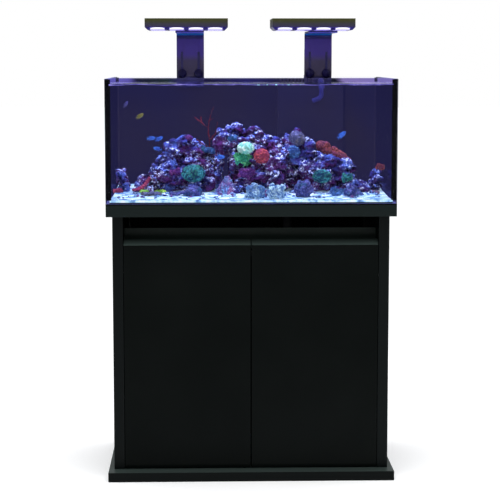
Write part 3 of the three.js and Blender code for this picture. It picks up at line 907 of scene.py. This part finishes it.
def coral_look(name, dark, light, patch):
    """Fleshy polyps: painted shade between them and pale on them, in two tones that wander into each other,
    with a painted glow.
    """
    look = Look(name, roughness=0.6, specular=0.2)
    # painted shade: darker between the polyps
    depth = look.spread(look.attribute("cavity"), 0.25, 0.7)
    fleck = look.spread(look.noise(110, 3, 0.6), 0.4, 0.6, 0.5, 1.1)
    flesh = look.mix(look.spread(look.noise(42, 2), 0.47, 0.6), light, patch)
    tone = look.mix(depth, dark, look.shade(flesh, fleck))
    # painted glow
    look.colour(tone).glow(tone, 0.12)
    return look.bump(look.noise(420, 3, 0.6), 0.4, 0.8 * MM)


def polyps(scale, height):
    """Relief of closely packed polyps, with a little broad lumpiness under them."""
    def push(position):
        cell = noise.voronoi(position * scale)[0][0]
        return height * (0.45 - cell) + 1.5 * MM * noise.noise(position * 45)
    return push


def dome(half, chance):
    return [((0, 0, 0), half, UNTURNED)]


def lumpy(half, chance):
    """A cluster of knobs about one heart."""
    blobs = [((0, 0, 0), tuple(0.7 * h for h in half), UNTURNED)]
    for _ in range(16):
        direction = Vector((chance.uniform(-1, 1), chance.uniform(-1, 0.4), chance.uniform(-0.6, 1)))
        direction.normalize()
        centre = tuple(d * h * 0.72 for d, h in zip(direction, half))
        radius = min(half) * chance.uniform(0.25, 0.42)
        blobs.append((centre, (radius, radius, radius * 1.1), UNTURNED))
    return blobs


def cone(half, chance):
    """A ribbed cone of thick plates grown together, with a scalloped rim."""
    blobs = []
    plates = 12
    for number in range(plates):
        up = number / (plates - 1)
        width = 1 - 0.82 * up ** 0.8
        height = half[2] * (1.8 * up - 0.9)
        blobs.append(((0, 0, height), (half[0] * width, half[1] * width, half[2] * 0.16), UNTURNED))
        for scallop in range(11):
            angle = math.tau * (scallop + 0.5 * (number % 2)) / 11 + chance.uniform(-0.1, 0.1)
            out = Vector((half[0] * math.cos(angle), half[1] * math.sin(angle), 0)) * width * 0.92
            radius = half[0] * width * 0.17
            if number % 3 == 0:
                blobs.append((out + Vector((0, 0, height)), (radius, radius, half[2] * 0.14), UNTURNED))
    return blobs


def fingers(half, chance):
    """Short blunt fingers standing up from a low base."""
    blobs = [((0, 0, -half[2] * 0.7), (half[0] * 0.9, half[1] * 0.9, half[2] * 0.3), UNTURNED)]
    for _ in range(22):
        angle = chance.uniform(0, math.tau)
        out = chance.random() ** 0.5 * 0.8
        foot = Vector((half[0] * out * math.cos(angle), half[1] * out * math.sin(angle), -half[2] * 0.6))
        lean = Vector((math.cos(angle) * out * 0.6, math.sin(angle) * out * 0.6, 1)).normalized()
        length = half[2] * chance.uniform(0.7, 1.5)
        for bead in range(7):
            radius = (4.2 - 0.35 * bead) * MM
            blobs.append((foot + lean * length * bead / 6, (radius, radius, radius * 1.3), UNTURNED))
    return blobs


def tube(half, chance):
    """A curved tube lying on its side."""
    blobs = []
    for bead in range(14):
        t = bead / 13 * 2 - 1
        centre = (half[0] * t, half[1] * 0.6 * math.sin(2.2 * t), half[2] * 0.8 * (t * t - 0.5))
        blobs.append((centre, (half[0] * 0.16, half[2] * 0.5, half[2] * 0.5), UNTURNED))
    return blobs


def slab(half, chance):
    """A thick sloping ledge with a knobbly edge."""
    blobs = []
    for number in range(7):
        t = number / 3 - 1
        centre = (half[0] * t * 0.78, 0, half[2] * 0.2 * math.sin(3 * t))
        blobs.append((centre, (half[0] * 0.34, half[1], half[2] * 0.72), (0, chance.uniform(-0.2, 0.2), 0)))
    for _ in range(16):
        t = chance.uniform(-1, 1)
        centre = (half[0] * t * 0.9, -half[1] * 0.55, half[2] * chance.uniform(-0.5, 0.6))
        radius = half[2] * chance.uniform(0.3, 0.45)
        blobs.append((centre, (radius * 1.5, radius, radius), UNTURNED))
    return blobs


# Linear colours: painted shade between the polyps, on the polyps, and the second tone in patches.
CORAL_TONES = {
    "mint": ((0.18, 0.6, 0.38), (0.95, 1.0, 0.74), (0.5, 0.92, 0.66)),
    "green": ((0.02, 0.2, 0.09), (0.2, 0.8, 0.28), (0.06, 0.46, 0.3)),
    "red": ((0.22, 0.025, 0.05), (0.72, 0.105, 0.1), (0.46, 0.055, 0.12)),
    "slate": ((0.06, 0.06, 0.12), (0.21, 0.2, 0.33), (0.16, 0.13, 0.13)),
    "azure": ((0.02, 0.05, 0.16), (0.1, 0.22, 0.46), (0.05, 0.14, 0.2)),
    "rust": ((0.1, 0.022, 0.035), (0.4, 0.085, 0.075), (0.22, 0.05, 0.1)),
    "teal": ((0.008, 0.04, 0.075), (0.07, 0.36, 0.33), (0.035, 0.2, 0.12)),
    "shell": ((0.12, 0.08, 0.24), (0.22, 0.46, 0.72), (0.74, 0.3, 0.48)),
    "cyan": ((0.08, 0.18, 0.38), (0.74, 1.0, 0.98), (0.3, 0.46, 0.66)),
    "lime": ((0.14, 0.3, 0.03), (0.6, 0.85, 0.12), (0.26, 0.55, 0.1)),
    "plum": ((0.07, 0.014, 0.1), (0.3, 0.07, 0.26), (0.13, 0.035, 0.22)),
    "violet": ((0.045, 0.045, 0.16), (0.17, 0.17, 0.44), (0.06, 0.16, 0.28)),
    "rose": ((0.25, 0.03, 0.08), (0.6, 0.1, 0.16), (0.4, 0.04, 0.14)),
    "stalk": ((0.07, 0.006, 0.018), (0.17, 0.016, 0.035), (0.12, 0.01, 0.03)),
}

# name, rock it grows on, place across and up that rock's box, how far it stands out from the rock in mm,
# half sizes in mm, form, tone, and for a few of them a tilt in degrees
CORALS = [
    ("bright_dome", "middle", 0.44, 0.635, 6, (28, 24, 20), dome, "mint"),
    ("green_cluster", "middle", 0.395, 0.47, 4, (38, 26, 24), lumpy, "green"),
    ("red_ball", "middle", 0.67, 0.52, 8, (25, 22, 24), dome, "red"),
    ("slate_dome", "right", 0.13, 0.86, 4, (27, 27, 25), dome, "slate"),
    ("azure_knobs", "right", 0.08, 0.64, 4, (23, 18, 22), dome, "azure"),
    ("rust_slab", "right", 0.62, 0.6, 6, (58, 34, 24), slab, "rust", 33),
    ("teal_left", "left", 0.76, 0.33, 10, (38, 28, 28), dome, "teal"),
    ("teal_right", "right", 0.443, 0.25, 12, (31, 24, 22), dome, "teal"),
    ("green_low", "right", 0.77, 0.22, 8, (24, 18, 17), lumpy, "teal"),
    ("cone", "middle", 0.17, 0.085, 92, (50, 38, 32), cone, "shell"),
    ("red_tube", "left", 0.07, 0.12, 20, (31, 12, 12), tube, "rose", -36),
    ("pale_left", "middle", 0.555, 0.03, 120, (38, 24, 38), lumpy, "cyan"),
    ("pale_right", "middle", 0.865, 0.03, 122, (36, 22, 38), lumpy, "cyan"),
    ("pale_low", "middle", 0.71, 0.0, 112, (22, 16, 15), fingers, "cyan"),
    ("brown_low", "middle", 0.74, 0.0, 124, (11, 9, 10), dome, "plum"),
    ("violet_knoll", "right", 0.18, 0.05, 112, (34, 26, 40), lumpy, "violet"),
    ("violet_left", "left", 0.76, 0.02, 84, (30, 22, 26), lumpy, "violet"),
    ("violet_right", "right", 0.8, 0.02, 96, (28, 22, 24), lumpy, "violet"),
    ("violet_front", "left", 0.56, 0.0, 104, (26, 14, 8), slab, "violet"),
    ("azure_front", "right", 0.62, 0.01, 78, (24, 18, 18), lumpy, "azure"),
    ("slate_front", "left", 0.2, 0.0, 84, (30, 14, 7), slab, "slate"),
    ("lime_left", "left", 0.31, 0.0, 40, (26, 14, 7), lumpy, "lime"),
    ("lime_far_left", "left", 0.1, 0.02, 30, (20, 12, 6), lumpy, "lime"),
    ("lime_right", "right", 0.59, 0.0, 40, (16, 12, 8), lumpy, "lime"),
    ("plum_top", "left", 0.69, 0.97, -4, (13, 11, 9), dome, "plum"),
    ("plum_left", "left", 0.5, 0.35, 2, (26, 16, 18), lumpy, "plum"),
    ("plum_middle", "middle", 0.45, 0.27, 4, (34, 18, 22), lumpy, "plum"),
    ("azure_ledge", "left", 0.97, 0.74, 2, (24, 18, 12), slab, "azure", 15),
    ("azure_top", "middle", 0.25, 0.78, 2, (20, 14, 12), lumpy, "azure"),
]


def spot_on(rock_skin, node, across, up, out):
    """The point on the reef's front at this place across and up a rock's box.

    It is then moved out towards the front glass by a number of millimetres.
    """
    low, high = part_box(node)
    x = low.x + (high.x - low.x) * across
    z = low.z + (high.z - low.z) * up
    hit = rock_skin.ray_cast(Vector((x, FRONT + 2 * PANE, max(z, low.z + 12 * MM))), Vector((0, 1, 0)))[0]
    y = hit.y if hit else (low.y + high.y) / 2
    return Vector((x, y - out * MM, z))


def make_corals(rock_skin, rock_look):
    chance = random.Random(11)
    looks = {tone: coral_look("coral_" + tone, *tones) for tone, tones in CORAL_TONES.items()}
    for name, pile, across, up, out, half_mm, form, tone, *tilt in CORALS:
        half = tuple(value * MM for value in half_mm)
        centre = spot_on(rock_skin, "rock_" + pile, across, up, out)
        turn = Matrix.Translation(centre) @ Matrix.Rotation(math.radians(sum(tilt)), 4, "Y")
        blobs = []
        for place, size, angles in form(half, chance):
            euler = (turn.to_3x3() @ Euler(angles).to_matrix()).to_euler()
            blobs.append((turn @ Vector(place), size, tuple(euler)))
        skin = fused(blobs, 1.4 * MM)
        scale, height = (150, 4.2 * MM) if form is dome else (200, 3.4 * MM)
        weather(skin, polyps(scale, height), height)
        for vertex in skin.vertices:
            vertex.co.z = max(vertex.co.z, FLOOR_OF_TANK + 1 * MM)
        add_mesh("coral_" + name, skin, looks[tone])
    make_sea_fan(chance, rock_skin, looks["stalk"])
    make_wall_stones(looks, rock_look)


# Stems of the sea fan in mm from its foot: (start across, start up, end across, end up, thickness).
SEA_FAN = [
    (0, -14, -2, 28, 2.6), (-2, 28, -5, 62, 2.2), (-5, 62, 1, 92, 1.7), (1, 92, 10, 116, 1.3),
    (-5, 60, -22, 74, 1.7), (-22, 74, -40, 88, 1.3), (1, 30, 14, 46, 1.6), (14, 46, 19, 74, 1.3),
    (-1, 8, -18, 18, 1.5), (-18, 18, -34, 30, 1.2), (-4, 78, 8, 84, 1.1), (-22, 74, -24, 90, 1.1),
]


def make_sea_fan(chance, rock_skin, look):
    """A sparse dark red sea fan that rises from the saddle between two piles."""
    foot = spot_on(rock_skin, "rock_left", 0.985, 0.72, -6)
    scale = 1.25 * MM
    blobs = []
    for x0, z0, x1, z1, thick in SEA_FAN:
        start = Vector((x0, 0, z0)) * scale
        end = Vector((x1, 0, z1)) * scale
        beads = max(int((end - start).length / (thick * 0.8 * MM)), 2)
        for bead in range(beads + 1):
            t = bead / beads
            wave = Vector((0.8 * math.sin(9 * t), 1.5 * math.sin(5 * t + z0), 0)) * MM
            radius = thick * chance.uniform(0.8, 1.15) * MM
            blobs.append((foot + start.lerp(end, t) + wave, (radius, radius, radius), UNTURNED))
    skin = fused(blobs, 0.8 * MM)
    weather(skin, polyps(420, 0.8 * MM), 1.4 * MM)
    add_mesh("coral_sea_fan", skin, look)


def make_wall_stones(looks, rock_look):
    """Low stones against the side walls, each with a red coral on it."""
    chance = random.Random(17)
    for side, sign, tone in (("left", -1, "rose"), ("right", 1, "rust")):
        foot = Vector((sign * (INNER_X - 20 * MM), 0, SAND_HIGH.z - 8 * MM))
        blobs = []
        for _ in range(44):
            up = chance.random()
            radius = chance.uniform(7, 14) * MM
            inward = chance.uniform(0, 1 - up) * 24 * MM
            place = foot + Vector((-sign * inward, chance.uniform(-48, 48) * MM, up * 62 * MM))
            turn = (chance.uniform(-0.8, 0.8), chance.uniform(-0.9, 0.9), chance.uniform(0, 3))
            blobs.append((place, (radius * 1.3, radius * 1.2, radius * 0.6), turn))
        skin = fused(blobs, 2.2 * MM)
        weather(skin, lambda position: 0.6 * rock_relief(position), 14 * MM)
        add_mesh(f"wall_stone_{side}", skin, rock_look)
        lift = 78 if sign > 0 else 2
        place = foot + Vector((sign * 4 * MM, -58 * MM, lift * MM))
        half = (20 * MM, 14 * MM, 12 * MM)
        knobs = [(place + Vector(at), size, turn) for at, size, turn in lumpy(half, chance)]
        coral = fused(knobs, 1.4 * MM)
        weather(coral, polyps(210, 3 * MM), 3.6 * MM)
        add_mesh(f"coral_wall_{side}", coral, looks[tone])


def make_rubble(look):
    """Broken coral and stones on the sand, thickest at the foot of the reef."""
    chance = random.Random(29)
    bm = bmesh.new()
    reach = INNER_X - 25 * MM
    for _ in range(230):
        x = chance.uniform(-reach, reach)
        behind = chance.random() ** 0.7
        y = FRONT + PANE + (20 + 170 * behind) * MM
        radius = chance.choice((2, 2.6, 3.4, 4.5, 7, 9)) * chance.uniform(0.7, 1.3) * MM
        radius *= 0.5 + 0.5 * behind
        add_stone(bm, Vector((x, y, sand_height(x, y) + radius * 0.25)), radius, chance)
    add_piece("rubble", bm, look)


def add_stone(bm, centre, radius, chance):
    stretch = (chance.uniform(0.8, 1.5), chance.uniform(0.7, 1.2), chance.uniform(0.5, 0.9))
    turn = Euler((0, 0, chance.uniform(0, math.pi))).to_matrix().to_4x4()
    matrix = Matrix.Translation(centre) @ turn @ Matrix.Diagonal((*stretch, 1))
    fine = 3 if radius > 10 * MM else 2
    made = bmesh.ops.create_icosphere(bm, subdivisions=fine, radius=radius, matrix=matrix)["verts"]
    seed = Vector((chance.random() * 50, 0, 0))
    for vertex in made:
        out = vertex.co - centre
        vertex.co += out * 0.45 * noise.noise(out * (1.1 / radius) + seed)


# ---------------------------------------------------------------- fish

def fish_look(name, back, belly):
    """Wet scales, in a darker back colour and a paler belly colour that wander into each other."""
    look = Look(name, roughness=0.3, specular=0.5)
    shade = look.spread(look.noise(90, 2), 0.35, 0.65)
    scales = look.spread(look.cells(700), 0.1, 0.6, 0.75, 1.0)
    body = look.mix(shade, back, belly)
    tone = look.shade(body, scales)
    # painted glow
    look.colour(tone).glow(tone, 0.25)
    return look.bump(look.cells(900), 0.3, 0.3 * MM)


# Fins as (centre, half sizes, turns in radians), in body lengths: tail, back, belly, sides.
FINS = [
    ((-0.4, 0, 0.075), (0.13, 0.012, 0.05), (0, 0.7, 0)),
    ((-0.4, 0, -0.075), (0.13, 0.012, 0.05), (0, -0.7, 0)),
    ((-0.02, 0, 0.2), (0.24, 0.012, 0.07), (0, 0.1, 0)),
    ((-0.12, 0, -0.18), (0.16, 0.012, 0.06), (0, -0.2, 0)),
    ((0.12, 0.05, -0.03), (0.08, 0.012, 0.04), (0, 0.3, 0.5)),
    ((0.12, -0.05, -0.03), (0.08, 0.012, 0.04), (0, 0.3, -0.5)),
]


def fish_blobs(length):
    """Body, tail stalk and thin fins of a small reef fish that swims along +X."""
    blobs = []
    for bead in range(15):
        t = bead / 14
        height = 0.21 * math.sin(math.pi * (0.08 + 0.86 * t) ** 0.8) + 0.02
        centre = (length * (0.5 - 0.78 * t), 0, 0)
        blobs.append((centre, (length * 0.09, length * height * 0.45, length * height), UNTURNED))
    for centre, size, turn in FINS:
        blobs.append((tuple(c * length for c in centre), tuple(h * length for h in size), turn))
    return blobs


# name, place across (-1 left wall, 1 right wall), distance behind the front glass and height over
# the sand in mm, length in mm, heading and pitch in degrees
FISH = [
    ("blue_1", -0.715, 110, 168, 26, 10, 5),
    ("blue_2", -0.662, 160, 163, 26, 20, 25),
    ("blue_3", -0.665, 120, 134, 26, 170, 15),
    ("blue_4", -0.224, 90, 110, 30, 8, 0),
    ("blue_5", 0.655, 120, 176, 32, 10, 38),
    ("yellow", -0.797, 130, 236, 26, 12, 34),
    ("violet", -0.905, 220, 270, 22, 10, 55),
]


def make_fish():
    looks = {
        "blue": fish_look("fish_blue", (0.012, 0.045, 0.3), (0.035, 0.16, 0.6)),
        "yellow": fish_look("fish_yellow", (0.09, 0.075, 0.015), (0.2, 0.17, 0.03)),
        "violet": fish_look("fish_violet", (0.035, 0.028, 0.12), (0.07, 0.055, 0.2)),
    }
    eye_look = Look("fish_eye", roughness=0.1)
    wet = [(0.4, (0.004, 0.004, 0.006)), (0.6, (0.012, 0.012, 0.02))]
    eye_look.colour(eye_look.ramp(eye_look.noise(300), wet))
    for name, across, behind, over, length_mm, heading, pitch in FISH:
        length = length_mm * MM
        place = Vector((INNER_X * across, FRONT + PANE + behind * MM, SAND_HIGH.z + over * MM))
        turn = Euler((0, math.radians(-pitch), math.radians(heading))).to_matrix().to_4x4()
        skin = fused(fish_blobs(length), 0.55 * MM)
        skin.transform(Matrix.Translation(place) @ turn)
        add_mesh("fish_" + name, skin, looks[name.split("_")[0]])
        bm = bmesh.new()
        for flank in (-1, 1):
            spot = Vector((0.4 * length, flank * 0.045 * length, 0.03 * length))
            matrix = Matrix.Translation(place) @ turn @ Matrix.Translation(spot)
            bmesh.ops.create_icosphere(bm, subdivisions=2, radius=0.028 * length, matrix=matrix)
        add_piece(f"fish_{name}_eyes", bm, eye_look)


# ---------------------------------------------------------------- water

def ripple(x, y):
    swell = 1.3 * MM * noise.noise(Vector((x * 16, y * 22, 5)))
    return swell + 0.6 * MM * noise.noise(Vector((x * 55, y * 55, 9)))


def make_water(look):
    """The sea water, down to the sand, in front of and beside the weir box.

    Its surface is hollowed under the left strap, which comes down there with its light.
    """
    gap = 0.8 * MM
    step = 5 * MM
    low = Vector((-INNER_X + gap, FRONT + PANE + gap, SAND_LOW.z + 1 * MM))
    high = Vector((INNER_X - gap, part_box("glass_back")[0].y - gap, WATER_LEVEL))
    weir_low, weir_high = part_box("weir_box")
    front_of_weir = min(weir_low.y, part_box("weir_comb")[0].y) - 3 * MM

    def in_weir(x, y):
        return weir_low.x - step < x < weir_high.x + step and y > front_of_weir - step / 2

    strap_low, strap_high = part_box("light_arm_left")
    strap_front = strap_high.y - 14 * MM
    hollow = 18 * MM

    def surface(x, y):
        under_strap = strap_low.x - step < x < strap_high.x + step and y > strap_front - step
        return WATER_LEVEL + ripple(x, y) - (hollow if under_strap else 0)

    bm = bed(low, high, step, surface, in_weir)
    flat_sides(add_piece("sea_water", bm, look)).visible_shadow = False


def make_sump_water(look):
    """Still water in the sump's three chambers."""
    low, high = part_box("sump_tank")
    wall, gap = 6 * MM, 0.8 * MM
    level = low.z + 0.62 * (high.z - low.z)
    first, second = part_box("sump_baffle_left"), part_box("sump_baffle_right")
    spans = ((low.x + wall, first[0].x), (first[1].x, second[0].x), (second[1].x, high.x - wall))
    for name, (left, right) in zip(("drain", "middle", "return"), spans):
        near = Vector((left + gap, low.y + wall + gap, low.z + wall + gap))
        far = Vector((right - gap, high.y - wall - gap, level))
        bm = bed(near, far, 12 * MM, lambda x, y: level + 0.4 * ripple(x, y))
        flat_sides(add_piece(f"sump_water_{name}", bm, look)).visible_shadow = False


def sump_water_look():
    """Clear still water, faintly blue-green, with a soft shine on top."""
    look = Look("sump_water", roughness=0.08, specular=0.4)
    look.colour(look.ramp(look.noise(12), [(0.4, (0.02, 0.035, 0.04)), (0.6, (0.03, 0.05, 0.055))]))
    look.bump(look.noise(30), 0.3, 1 * MM)
    cover = look.times(look.over(look.facing("Z"), 0.4), 0.35)
    return look.surface(look.blend(cover, look.clear((0.8, 0.88, 0.92)), look.shader.outputs[0]))


def make_water_line():
    """The wavy edge of the water where it climbs the front glass, bright with a glowing painted highlight."""
    look = Look("water_line", roughness=0.1)
    strand = look.noise(11, 4, 0.7, stretch=(1, 0, 0))
    wave = look.ramp(strand, [
        (0.38, (0.022, 0.018, 0.11)), (0.52, (0.09, 0.075, 0.36)), (0.66, (0.26, 0.22, 0.6))])
    off = look.maths("ABSOLUTE", look.minus(look.along("X"), 75 * MM))
    sparkling = look.spread(off, 0.0, 0.1, 1, 0)
    spark = look.spread(look.noise(75, 2, 0.6, stretch=(1, 0, 0)), 0.5, 0.6)
    # painted highlight: a cyan sparkle around 75 mm right of the middle, over the glowing wavy line
    tone = look.mix(look.times(sparkling, spark), wave, (0.35, 0.75, 0.9))
    look.colour(look.mix(0.5, tone, BLACK))
    look.glow(tone, 0.8)
    bm = bmesh.new()
    samples = 260
    near, far = FRONT + PANE + 0.2 * MM, FRONT + PANE + 0.7 * MM
    loops = []
    for number in range(samples + 1):
        x = (INNER_X - 1 * MM) * (2 * number / samples - 1)
        middle = WATER_LEVEL - 2 * MM + 3.2 * MM * noise.noise(Vector((x * 13, 0, 2)))
        half = 1.3 * MM + 2.4 * MM * abs(noise.noise(Vector((x * 24, 0, 8))))
        corners = ((near, middle - half), (far, middle - half), (far, middle + half), (near, middle + half))
        loops.append([bm.verts.new((x, y, z)) for y, z in corners])
    join_rings(bm, loops)
    add_piece("water_line", bm, look).visible_shadow = False


# ---------------------------------------------------------------- filter sock

def make_filter_sock(look):
    """A hanging felt bag with a stitched hem round its mouth and soft creases down its sides."""
    low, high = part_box("filter_sock")
    middle = (low + high) / 2
    radius = (high.x - low.x) / 2
    wall = 2.2 * MM
    around, rows = 96, 46
    bm = bmesh.new()

    def ring(z, r, crease):
        made = []
        for number in range(around):
            angle = math.tau * number / around
            fold = crease * (0.6 * math.sin(5 * angle + z * 30) + noise.noise(
                Vector((math.cos(angle) * 2, math.sin(angle) * 2, z * 22))))
            out = r + fold
            made.append(bm.verts.new((middle.x + out * math.cos(angle), middle.y + out * math.sin(angle), z)))
        return made

    rings = []
    depth = high.z - low.z
    for inner in (False, True):
        for row in (range(rows, -1, -1) if inner else range(rows + 1)):
            t = row / rows
            end = math.sqrt(max(1 - (1 - min(t / 0.16, 1)) ** 2, 0.0))
            hem = 1.6 * MM * smooth_step(t, 0.93, 0.945) if not inner else 0.0
            r = (radius - 4 * MM) * max(end, 0.02) + hem - (wall if inner else 0)
            z = low.z + depth * t + (wall * (1 - min(t / 0.1, 1)) if inner else 0)
            rings.append(ring(z, max(r, 0.6 * MM), 1.9 * MM * smooth_step(0.95 - t, 0.0, 0.3) * end))
    join_rings(bm, rings)
    add_piece("felt_filter_sock", bm, look, stands_for=("filter_sock",))


def make_everything():
    bpy.context.scene.view_settings.view_transform = "Standard"
    make_camera()
    make_world()
    make_lights()
    make_floor()
    looks = dress_cad_nodes()
    make_sand(looks["sand"])
    rocks = make_rocks(looks["rock"])
    rock_skin = skin_of(rocks)
    make_corals(rock_skin, looks["rock"])
    make_rubble(rubble_stone())
    make_fish()
    make_water(water_look())
    make_sump_water(sump_water_look())
    make_water_line()
    make_filter_sock(looks["felt"])


make_everything()
